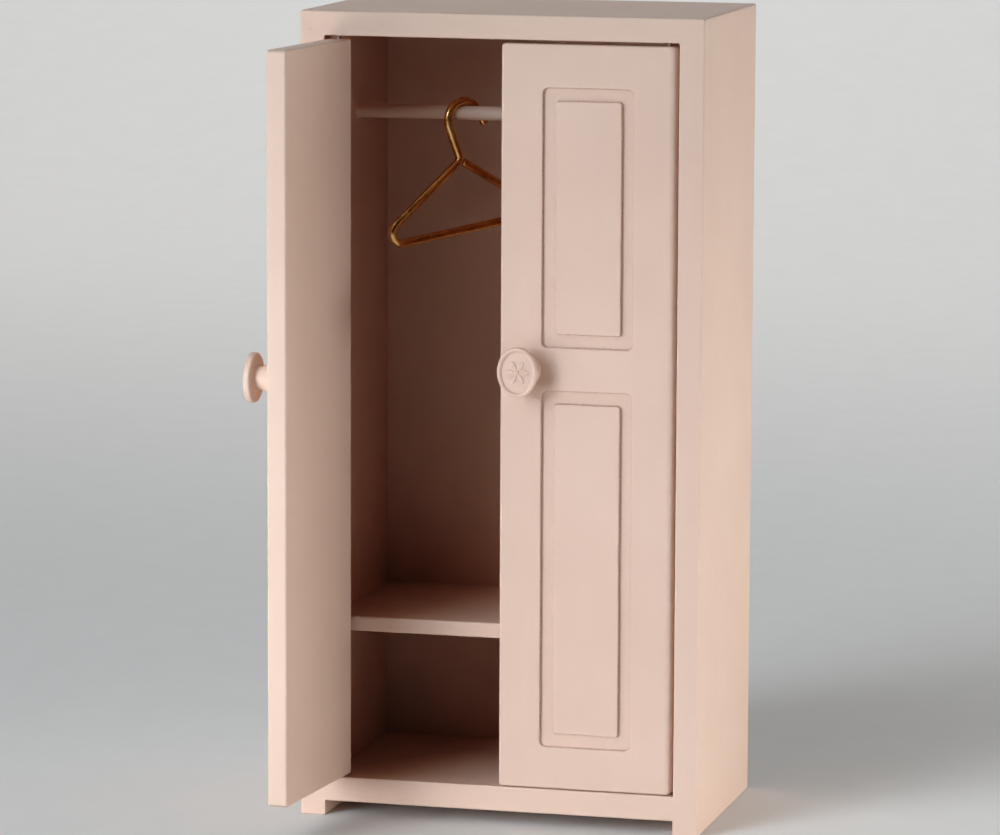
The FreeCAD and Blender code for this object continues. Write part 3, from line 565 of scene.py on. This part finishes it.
def shelf():
    """A thin board with softly rounded front edges and a bead of paint near its left end."""
    (x0, y0, z0), (x1, y1, z1) = cad("shelf")
    bead = x0 + BEAD_PLACE
    levels = spread(x0 + 1, x1 - 1, 5.0) + [x0, x0 + 0.2, x0 + 0.5, x1 - 0.5, x1 - 0.2, x1]
    levels += [bead + k * 0.2 for k in range(-6, 7)]
    depths = spread(y0 + 1.0, y1 - 0.6, 6.0)
    heights = [z0 + 1.2, z1 - 1.2]
    rings, edges = [], []
    for x in thinned(levels, 0.05):
        low_edge = SHELF_LOW_ROUND * (1 + 0.3 * rough((x, 0, 0), 0.12, 11.0))
        high_edge = SHELF_HIGH_ROUND * (1 + 0.3 * rough((x, 0, 0), 0.1, 13.0))
        ring, edge, _ = outline(((y0, z0, low_edge), (y1, z0, ALMOST), (y1, z1, ALMOST),
                                 (y0, z1, high_edge)), (depths, [], depths[::-1], heights[::-1]))
        swell = math.exp(-((x - bead) / BEAD_WIDTH) ** 2)
        front = np.exp(-((ring[:, 0] - y0) / BEAD_DEPTH) ** 2) * (ring[:, 1] > z1 - 1.3)
        ring[:, 1] += BEAD_RISE * swell * front
        rings.append(np.column_stack([np.full(len(ring), x), ring[:, 0], ring[:, 1]]))
        edges.append(edge)
    points, faces = np.concatenate(rings), skin(rings)
    points = hand_finish(points, outward(points, faces), FINISH_SWELL, FINISH_SCALE, 21.0)
    return piece("shelf_board", points, faces, "cabinet", lying_paint,
                 {"edge": np.concatenate(edges)})


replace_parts(shelf(), "shelf")


def rail():
    """A round rod with small fillets of paint where it enters the side panels."""
    low, high = cad("hanging_rail")
    radius = (high[2] - low[2]) / 2
    middle = (low + high) / 2
    faces_at = (left_high[0], -left_high[0])
    levels = [low[0], low[0] + 0.5] + spread(faces_at[0], faces_at[1], 3.0)
    levels += [low[0] + 2.6, high[0] - 2.6, high[0] - 0.5, high[0]]
    levels += [x for face in faces_at for x in (face - 0.2, face + 0.15, face - 0.15, face + 0.35,
                                                face - 0.35, face + 0.7, face - 0.7)]
    rings = []
    for x in thinned(levels, 0.02):
        inside = min(x - faces_at[0], faces_at[1] - x)
        fillet = FILLET_SWELL * math.exp(-max(0.0, inside) / FILLET_REACH)
        fillet *= inside > -FILLET_BURIED
        ring = []
        for k in range(RAIL_AROUND):
            angle = 2 * math.pi * k / RAIL_AROUND
            r = radius + fillet + 0.02 * rough((x, math.cos(angle), math.sin(angle)), 0.3, 17.0)
            ring.append((x, middle[1] + r * math.cos(angle), middle[2] + r * math.sin(angle)))
        rings.append(np.array(ring))
    return piece("hanging_rail_rod", np.concatenate(rings), skin(rings), "cabinet",
                 lying_paint)


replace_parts(rail(), "hanging_rail")


# ---------------------------------------------------------------- doors

def rounded_distance(u, w, box, radius):
    """Signed distance to a rectangle with round corners, below 0 inside it."""
    u0, u1, w0, w1 = box
    du = np.abs(u - (u0 + u1) / 2) - (u1 - u0) / 2 + radius
    dw = np.abs(w - (w0 + w1) / 2) - (w1 - w0) / 2 + radius
    outside = np.hypot(np.maximum(du, 0), np.maximum(dw, 0))
    return outside + np.minimum(np.maximum(du, dw), 0) - radius


def wall(distance):
    """0 before a groove's wall and 1 past it, with soft lips."""
    t = np.clip(distance / GROOVE_WALL + 0.5, 0, 1)
    return t * t * (3 - 2 * t)


def door(name, hinge, turn, hand, body, seed):
    """An inset door with two routed grooves. hand is 1 where it reaches towards +X when closed.

    u runs from the pins to the free edge, v from front to back, w up.
    """
    low, high = cad("right_door")
    height = high[2] - low[2]
    half = (high[1] - low[1]) / 2
    reach = high[0] - low[0] - DOOR_HINGE_EDGE
    far = reach - PANEL_MARGIN
    close = far - PANEL_WIDTH
    outers = [(close, far, w0, w1) for w0, w1 in PANEL_LEVELS]
    inners = [(close + GROOVE_HINGE, far - GROOVE_FREE, w0 + GROOVE_BOTTOM, w1 - GROOVE_TOP)
              for w0, w1 in PANEL_LEVELS]

    def dense(start, end, radius):
        """Close lines along two facing walls and through the round corners between them."""
        lines = []
        for place, inwards in ((start, 1), (end, -1)):
            lines += spread(place - WALL_SPAN, place + WALL_SPAN, WALL_STEP)
            lines += spread(place, place + inwards * radius, ROUND_STEP)
        return lines

    first_line, last_line = -0.1, reach - 1.6
    across = spread(first_line, last_line, 2.4)
    across += dense(close, far, GROOVE_OUTER_ROUND)
    across += dense(close + GROOVE_HINGE, far - GROOVE_FREE, GROOVE_INNER_ROUND)
    across = thinned(across, 0.035)
    levels = spread(1.8, height - 1.8, 2.2) + end_levels(0, height, DOOR_EDGE)
    levels += end_levels(0, height, DOOR_HINGE_CORNER)
    for w0, w1 in PANEL_LEVELS:
        levels += dense(w0, w1, GROOVE_OUTER_ROUND)
        levels += dense(w0 + GROOVE_BOTTOM, w1 - GROOVE_TOP, GROOVE_INNER_ROUND)
    levels = thinned(levels, 0.02)
    behind = spread(first_line, last_line, 5.0)
    thick = [-half + 1.2, 0.0, half - 1.2]
    thick_hinge = [0.0]

    rings, edges, fronts = [], [], []
    for w in levels:
        from_end = min(w, height - w)
        inset = drawn_in(from_end, DOOR_EDGE)
        near_u = -DOOR_HINGE_EDGE + drawn_in(from_end, DOOR_HINGE_CORNER)
        far_u = reach - drawn_in(from_end, DOOR_FREE_CORNER)
        uneven = 1 + 0.2 * rough((0, 0, w), 0.08, seed)
        free = max(ALMOST, DOOR_EDGE * uneven - inset)
        room = (first_line - near_u) * 0.8
        low_v, high_v = -half + inset, half - inset
        ring, edge, side = outline(
            ((near_u, low_v, min(DOOR_HINGE_FRONT - inset, room)), (far_u, low_v, free),
             (far_u, high_v, free), (near_u, high_v, min(DOOR_HINGE_BACK - inset, room))),
            (across, thick, behind[::-1], thick_hinge))
        rings.append(np.column_stack([ring[:, 0], ring[:, 1], np.full(len(ring), w)]))
        edges.append(edge + (END_WEAR_AND_HIGHLIGHT if inset > 0 else 0.0))
        fronts.append(side == 0)
    points, faces = np.concatenate(rings), skin(rings)
    front = np.concatenate(fronts)
    points = hand_finish(points, outward(points, faces), FINISH_SWELL, FINISH_SCALE, seed)

    u, w = points[:, 0], points[:, 2]
    wander = np.array([GROOVE_WANDER * rough((a, 0, b), 0.45, seed + 2) for a, b in zip(u, w)])
    nicks = np.array([max(0.0, rough((a, 0, b), 1.3, seed + 5) - NICK_RARITY)
                      for a, b in zip(u, w)])
    depth = np.zeros(len(points))
    painted_shade = np.zeros(len(points))
    for outer, inner in zip(outers, inners):
        into = -rounded_distance(u, w, outer, GROOVE_OUTER_ROUND) + wander
        out = rounded_distance(u, w, inner, GROOVE_INNER_ROUND) + wander
        out += nicks * NICK_REACH
        cut = wall(into) * wall(out)
        soft = LIP_DROP * (np.exp(-(into / LIP_REACH) ** 2) * (into < 0)
                           + np.exp(-(out / LIP_REACH) ** 2) * (out < 0))
        depth += GROOVE_DEPTH * cut * (1 + 0.02 * wander / GROOVE_WANDER) + soft
        # Painted shade: a band along each groove wall, on the front face only, marks where the
        # paint is darkened as shade.
        near_wall = np.maximum(np.exp(-((into - SHADE_PLACE) / SHADE_REACH) ** 2),
                               np.exp(-((out - SHADE_PLACE) / SHADE_REACH) ** 2))
        painted_shade += near_wall * (into > -SHADE_PLACE) * (out > -SHADE_PLACE)
    points[:, 1] += front * depth
    painted_shade *= front

    placed = Matrix.Translation(Vector(hinge)) @ Matrix.Rotation(math.radians(turn), 4, "Z")
    points[:, 0] *= hand
    turned = np.array(placed.to_3x3()) @ points.T
    points = turned.T + np.array(hinge)
    made = piece(name, points, faces, body, upright_paint,
                 {"edge": np.concatenate(edges), "painted_shade": painted_shade}, sharp=60.0)
    return made, placed, reach, half


def hinge_place(name):
    low = cad("right_door")[0]
    place = np.array(joint(name)["pos_m"]) / MM
    return (place[0], place[1], low[2])


left_panel, left_placed, door_reach, door_half = door(
    "left_door_leaf", hinge_place("left_door_hinge"), -DOOR_OPENING, 1, "left_door", 31.0)
right_panel, right_placed, _, _ = door(
    "right_door_leaf", hinge_place("right_door_hinge"), 0.0, -1, "right_door", 47.0)
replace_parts(left_panel, "left_door")
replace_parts(right_panel, "right_door")


# ---------------------------------------------------------------- knobs

KNOB_AROUND = 96
HEAD_WIDE, HEAD_TALL = 4.9, 6.05
NECK_BASE, NECK_WAIST, WAIST_HEIGHT = 4.4, 2.7, 3.9
FLARE, NECK_HEIGHT = 3.6, 4.6
HEAD_TOP = 6.5
HEAD_BACK_ROUND = 0.75
RIM, RECESS = 1.1, 0.5
NECK_STEPS, CURVE_STEPS, BEAD_STEPS, FIELD_STEPS = 12, 7, 10, 38
PETALS = 6
PETAL_REACH, PETAL_LONG, PETAL_WIDE = 1.75, 1.32, 0.66
PETAL_HEIGHT, PETAL_FULLNESS = 0.4, 0.6
VEIN_DEPTH, VEIN_WIDTH = 0.45, 0.16
BOSS_RADIUS, BOSS_HEIGHT = 0.66, 0.46


def rosette(x, y):
    """Height of the raised flower on the knob's recessed field."""
    height = 0.0
    for i in range(PETALS):
        angle = 2 * math.pi * i / PETALS
        along = x * math.cos(angle) + y * math.sin(angle) - PETAL_REACH
        side = -x * math.sin(angle) + y * math.cos(angle)
        reach = (along / PETAL_LONG) ** 2 + (side / PETAL_WIDE) ** 2
        petal = max(0.0, 1 - reach) ** PETAL_FULLNESS
        vein = VEIN_DEPTH * math.exp(-(side / VEIN_WIDTH) ** 2) * petal
        height = max(height, PETAL_HEIGHT * petal * (1 - vein))
    boss = max(0.0, 1 - (x * x + y * y) / BOSS_RADIUS ** 2) ** 0.5
    return max(height, BOSS_HEIGHT * boss)


def knob_rows():
    """Half widths, half heights and levels of the rings, and whether each is on the field."""
    rows = [(NECK_BASE * 0.98, NECK_BASE * 0.98, -0.6, False), (NECK_BASE, NECK_BASE, 0.0, False)]
    for k in range(1, NECK_STEPS + 1):
        t = k / NECK_STEPS
        radius = NECK_BASE - (NECK_BASE - NECK_WAIST) * (t + 0.12 * math.sin(math.pi * t))
        rows.append((radius, radius, WAIST_HEIGHT * t, False))
    for k in range(1, CURVE_STEPS + 1):
        angle = math.pi / 2 * k / CURVE_STEPS
        radius = NECK_WAIST + (FLARE - NECK_WAIST) * (1 - math.cos(angle))
        level = WAIST_HEIGHT + (NECK_HEIGHT - 0.05 - WAIST_HEIGHT) * math.sin(angle)
        rows.append((radius, radius, level, False))
    for k in range(CURVE_STEPS + 1):
        angle = math.pi / 2 * k / CURVE_STEPS
        inset = HEAD_BACK_ROUND * (1 - math.sin(angle))
        level = NECK_HEIGHT + HEAD_BACK_ROUND * (1 - math.cos(angle))
        rows.append((HEAD_WIDE - inset, HEAD_TALL - inset, level, False))
    bead, crown, step_in = 0.5, 0.38, 0.1
    for k in range(BEAD_STEPS + 1):
        angle = math.pi * k / BEAD_STEPS
        last = step_in if k == BEAD_STEPS else 0.0
        inset = bead * (1 - math.cos(angle)) + last
        level = HEAD_TOP - crown + crown * math.sin(angle) - last
        rows.append((HEAD_WIDE - inset, HEAD_TALL - inset, level, False))
    for k in range(1, FIELD_STEPS):
        share = 1 - k / FIELD_STEPS
        rows.append(((HEAD_WIDE - RIM) * share + 0.01, (HEAD_TALL - RIM) * share + 0.01,
                     HEAD_TOP - RECESS, True))
    return rows


def knob(name, placed, hand, turn, body, seed):
    """A hollow-sided neck and an oval head with a raised rim round a small flower."""
    rings, painted_shades = [], []
    for wide, tall, level, on_field in knob_rows():
        ring, painted_shade = [], []
        for k in range(KNOB_AROUND):
            angle = 2 * math.pi * k / KNOB_AROUND
            x, y = wide * math.cos(angle), tall * math.sin(angle)
            relief = rosette(x, y) if on_field else 0.0
            near_rim = math.hypot(x / (HEAD_WIDE - RIM), y / (HEAD_TALL - RIM))
            # Painted shade: the field floor, where it has no relief, is darkened close inside the
            # rim and in a ring round the flower.
            dark = 0.0
            if on_field:
                dark = 0.35 * math.exp(-(relief / 0.06) ** 2) * (near_rim > 0.02)
                dark *= max(math.exp(-((1 - near_rim) / 0.08) ** 2),
                            math.exp(-((math.hypot(x, y) - 1.5) / 1.4) ** 2))
            swell = 1 + 0.005 * rough((x, y, level), 0.5, seed)
            ring.append((x * swell, y * swell, level + relief))
            painted_shade.append(dark)
        rings.append(np.array(ring))
        painted_shades.append(painted_shade)
    points, faces = np.concatenate(rings), skin(rings)
    seat = Vector((hand * (door_reach - KNOB_MARGIN), -door_half, KNOB_HEIGHT))
    stand = (placed @ Matrix.Translation(seat) @ Matrix.Rotation(math.pi / 2, 4, "X")
             @ Matrix.Rotation(math.radians(turn), 4, "Z"))
    points = np.array([stand @ Vector(p) for p in points])
    return piece(name, points, faces, body, knob_paint,
                 {"painted_shade": np.concatenate(painted_shades)}, sharp=50.0)


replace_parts(knob("left_door_knob", left_placed, 1, LEFT_KNOB_TURN, "left_door", 61.0),
            "left_knob")
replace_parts(knob("right_door_knob", right_placed, -1, 0.0, "right_door", 67.0), "right_knob")


# ---------------------------------------------------------------- clothes hanger

WIRE_RADIUS = 1.0
HANGER_LEFT, HANGER_RIGHT, HANGER_RISE = 28.5, 23.2, 17.2
CORNER_BEND, NECK_BEND, HOOK_RADIUS = 2.6, 1.6, 4.6
HOOK_ACROSS, HOOK_UP, HOOK_END, HOOK_TAIL = 0.9, 9.9, 32.0, 4.3
BAR_SLOPE, HANGER_YAW = 7.6, 48.0
WIRE_AROUND = 28
BEND_STEPS, HOOK_STEPS = 14, 44
NOSE_ROUND, NOSE_STEPS = 0.3, 5


def arc_round(before, corner, after, radius):
    """Points of the arc that rounds a corner."""
    back, ahead = (before - corner).normalized(), (after - corner).normalized()
    half = back.angle(ahead) / 2
    centre = corner + (back + ahead).normalized() * (radius / math.sin(half))
    start = corner + back * (radius / math.tan(half)) - centre
    end = corner + ahead * (radius / math.tan(half)) - centre
    turn = math.atan2(start.x * end.y - start.y * end.x, start.dot(end))
    return [centre + Matrix.Rotation(turn * k / BEND_STEPS, 2) @ start
            for k in range(BEND_STEPS + 1)]


def straight(start, end, step=1.0):
    count = max(1, int((end - start).length / step))
    return [start.lerp(end, k / count) for k in range(1, count)]


def wire_path():
    """Centrelines in the hanger's own plane, from the bar's middle round each way."""
    middle = Vector((0.0, 0.0))
    left, right = Vector((-HANGER_LEFT, 0.0)), Vector((HANGER_RIGHT, 0.0))
    neck = Vector((0.0, HANGER_RISE))
    slope = math.radians(BAR_SLOPE)
    hook = neck + Vector((HOOK_ACROSS * math.cos(slope) + HOOK_UP * math.sin(slope),
                          HOOK_UP * math.cos(slope) - HOOK_ACROSS * math.sin(slope)))
    reach = hook - neck
    heading = math.atan2(reach.y, reach.x) + math.asin(HOOK_RADIUS / reach.length)
    shank = math.sqrt(reach.length ** 2 - HOOK_RADIUS ** 2)
    start = neck + Vector((math.cos(heading), math.sin(heading))) * shank
    first = math.atan2(start.y - hook.y, start.x - hook.x)
    last = math.radians(HOOK_END) - slope
    turn = (last - first) % (2 * math.pi) - 2 * math.pi
    angles = [first + turn * k / HOOK_STEPS for k in range(HOOK_STEPS + 1)]
    curl = [hook + Vector((math.cos(a), math.sin(a))) * HOOK_RADIUS for a in angles]
    tip = curl[-1] + Vector((math.sin(last), -math.cos(last))) * HOOK_TAIL
    left_arc = arc_round(middle, left, neck, CORNER_BEND)
    neck_arc = arc_round(left, neck, start, NECK_BEND)
    right_arc = arc_round(middle, right, neck, CORNER_BEND)
    butt = neck + (right_arc[-1] - neck).normalized() * (WIRE_RADIUS * 0.75)
    return ([butt] + straight(butt, right_arc[-1]) + right_arc[::-1]
            + straight(right_arc[0], left_arc[0]) + left_arc
            + straight(left_arc[-1], neck_arc[0]) + neck_arc
            + straight(neck_arc[-1], curl[0]) + curl + straight(curl[-1], tip) + [tip])


def hanger():
    """One bent wire whose cut ends are slightly rounded."""
    path = wire_path()
    tangents = []
    for i in range(len(path)):
        ahead, behind = path[min(i + 1, len(path) - 1)], path[max(i - 1, 0)]
        tangents.append((ahead - behind).normalized())
    rows = [(i, 1.0, 0.0) for i in range(1, len(path) - 1)]
    rounded = [(math.sqrt(1 - (1 - k / NOSE_STEPS) ** 2) * NOSE_ROUND, NOSE_ROUND * k / NOSE_STEPS)
               for k in range(NOSE_STEPS)]
    start_rows = [(0, (WIRE_RADIUS - NOSE_ROUND + grow) / WIRE_RADIUS, along)
                  for grow, along in rounded]
    end_rows = [(len(path) - 1, scale, -along) for _, scale, along in start_rows][::-1]
    rings = []
    for i, scale, along in start_rows + rows + end_rows:
        t = tangents[i]
        side = Vector((-t.y, t.x))
        centre = path[i] + t * along
        ring = []
        for k in range(WIRE_AROUND):
            angle = 2 * math.pi * k / WIRE_AROUND
            r = WIRE_RADIUS * scale * (1 + 0.012 * rough((i * 0.7, math.cos(angle), 0), 0.35, 71.0))
            across = centre + side * (r * math.cos(angle))
            ring.append((across.x, r * math.sin(angle), across.y))
        rings.append(np.array(ring))
    points, faces = np.concatenate(rings), skin(rings)
    stand = Matrix.Rotation(math.radians(HANGER_YAW), 3, "Z") @ Matrix.Rotation(
        -math.radians(BAR_SLOPE), 3, "Y")
    points = (np.array(stand) @ points.T).T
    low, high = cad("clothes_hanger")
    points += (low + high) / 2 - (points.min(0) + points.max(0)) / 2
    return piece("hanger_wire", points, faces, "hanger", gilt_wire, sharp=50.0)


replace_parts(hanger(), "clothes_hanger")


# ---------------------------------------------------------------- CAD nodes that stay

KEPT_NODES = (
    ("back_panel", upright_paint),
    ("top_panel_dowels", birch_dowel),
    ("bottom_panel_dowels", birch_dowel),
    ("shelf_pegs", birch_dowel),
    ("back_panel_brads", steel_pin),
    ("left_door_top_pin", steel_pin),
    ("left_door_bottom_pin", steel_pin),
    ("right_door_top_pin", steel_pin),
    ("right_door_bottom_pin", steel_pin),
)
for node_name, finish in KEPT_NODES:
    node = frame["nodes"][node_name]
    node.data.materials.clear()
    node.data.materials.append(finish)


# ---------------------------------------------------------------- camera, floor and light

CAMERA_PLACE = (0.3150, -1.2347, 0.2826)
CAMERA_AZIMUTH, CAMERA_ELEVATION, CAMERA_ROLL = 14.633, 8.308, 0.241
CAMERA_LENS, CAMERA_SENSOR = 187.84, 36.0


def camera():
    azimuth, elevation, roll = (math.radians(a) for a in
                                (CAMERA_AZIMUTH, CAMERA_ELEVATION, CAMERA_ROLL))
    right = Vector((math.cos(azimuth), math.sin(azimuth), 0.0))
    back = Vector((math.sin(azimuth) * math.cos(elevation),
                   -math.cos(azimuth) * math.cos(elevation), math.sin(elevation)))
    up = back.cross(right)
    side = right * math.cos(roll) + up * math.sin(roll)
    above = up * math.cos(roll) - right * math.sin(roll)
    data = bpy.data.cameras.new("camera")
    data.lens, data.sensor_width = CAMERA_LENS, CAMERA_SENSOR
    data.clip_start, data.clip_end = 0.01, 100.0
    made = bpy.data.objects.new("camera", data)
    made.matrix_world = Matrix((
        (side.x, above.x, back.x, CAMERA_PLACE[0]),
        (side.y, above.y, back.y, CAMERA_PLACE[1]),
        (side.z, above.z, back.z, CAMERA_PLACE[2]),
        (0, 0, 0, 1)))
    bpy.context.scene.collection.objects.link(made)
    bpy.context.scene.camera = made


FLOOR_REACH, WALL_AWAY, SWEEP_RADIUS, WALL_HEIGHT = 6.0, 2.2, 0.9, 4.0
SWEEP_STEPS = 24


def floor():
    """Pale seamless paper that lies flat under the piece and sweeps up far behind it."""
    profile = [(-FLOOR_REACH, 0.0), (0.0, 0.0), (WALL_AWAY - SWEEP_RADIUS, 0.0)]
    for k in range(1, SWEEP_STEPS + 1):
        angle = math.pi / 2 * k / SWEEP_STEPS
        profile.append((WALL_AWAY - SWEEP_RADIUS * (1 - math.sin(angle)),
                        SWEEP_RADIUS * (1 - math.cos(angle))))
    profile.append((WALL_AWAY, WALL_HEIGHT))
    points = [(x, y, z) for y, z in profile for x in (-FLOOR_REACH, FLOOR_REACH)]
    faces = [(2 * i, 2 * i + 1, 2 * i + 3, 2 * i + 2) for i in range(len(profile) - 1)]
    mesh = bpy.data.meshes.new("floor")
    mesh.from_pydata(points, [], faces)
    mesh.shade_smooth()
    material, nodes, links, shader = new_material("floor_paper")
    plain = coordinates(nodes, links)
    fibres = noise_node(nodes, links, plain, 60.0, 4.0, 0.6)
    links.new(ramp(nodes, links, fibres, ((0.3, (0.78, 0.77, 0.755)), (0.7, (0.8, 0.79, 0.775)))),
              shader.inputs["Base Color"])
    shader.inputs["Roughness"].default_value = 0.85
    mesh.materials.append(material)
    made = bpy.data.objects.new("floor", mesh)
    bpy.context.scene.collection.objects.link(made)


AIM = Vector((0.0, -0.01, 0.1))


def softbox(name, azimuth, elevation, distance, width, height, power, colour, aim=AIM,
            spread_angle=180.0):
    """A soft light aimed at a point. Azimuth 0 is in front and 90 is on the right."""
    a, e = math.radians(azimuth), math.radians(elevation)
    away = Vector((math.sin(a) * math.cos(e), -math.cos(a) * math.cos(e), math.sin(e)))
    data = bpy.data.lights.new(name, "AREA")
    data.shape, data.size, data.size_y = "RECTANGLE", width, height
    data.energy, data.color = power, colour
    data.spread = math.radians(spread_angle)
    made = bpy.data.objects.new(name, data)
    made.location = aim + away * distance
    made.rotation_mode = "QUATERNION"
    made.rotation_quaternion = away.to_track_quat("Z", "Y")
    bpy.context.scene.collection.objects.link(made)


# Each light's name, azimuth, elevation, distance, width, height, power and colour.
LIGHTS = (
    ("key", -31.0, 20.0, 1.1, 0.5, 0.5, 6.8, (0.70, 0.86, 0.97)),
    ("high", -30.0, 50.0, 1.1, 0.5, 0.5, 2.2, (1.0, 0.93, 0.9)),
    ("rim", 120.0, 25.0, 1.1, 0.5, 0.5, 1.4, (0.8, 0.92, 1.0)),
    ("low_left", -45.0, -14.0, 0.34, 0.25, 0.06, 0.45, (1.0, 1.0, 1.0)),
    ("low_right", 85.0, -14.0, 0.34, 0.25, 0.06, 0.9, (0.97, 1.0, 0.98)),
)
FEET, GRID_SPREAD = Vector((0.0, -0.03, -0.01)), 17.0
BACKDROP_AIM = Vector((-0.2, 2.0, 0.5))
for light in LIGHTS:
    softbox(*light)
softbox("grid", -33.0, 8.0, 1.1, 0.3, 0.3, 0.08, (0.86, 0.92, 0.96), FEET, GRID_SPREAD)
softbox("backdrop", -10.0, 42.0, 1.5, 2.4, 0.7, 24.0, (1.0, 1.0, 1.0), BACKDROP_AIM)

world = bpy.data.worlds.new("studio")
world.use_nodes = True
world.node_tree.nodes["Background"].inputs["Color"].default_value = (1.0, 0.98, 0.96, 1.0)
world.node_tree.nodes["Background"].inputs["Strength"].default_value = 0.005
bpy.context.scene.world = world

# Input and output of the tone curve, which deepens the dark inside and leaves the rest.
TONES = ((0.02, 0.0105), (0.04, 0.0265), (0.08, 0.071), (0.16, 0.158), (0.5, 0.5))
view = bpy.context.scene.view_settings
view.view_transform = "Standard"
view.use_curve_mapping = True
ALL_CHANNELS = 3
combined = view.curve_mapping.curves[ALL_CHANNELS]
for tone in TONES:
    combined.points.new(*tone)
view.curve_mapping.update()

camera()
floor()
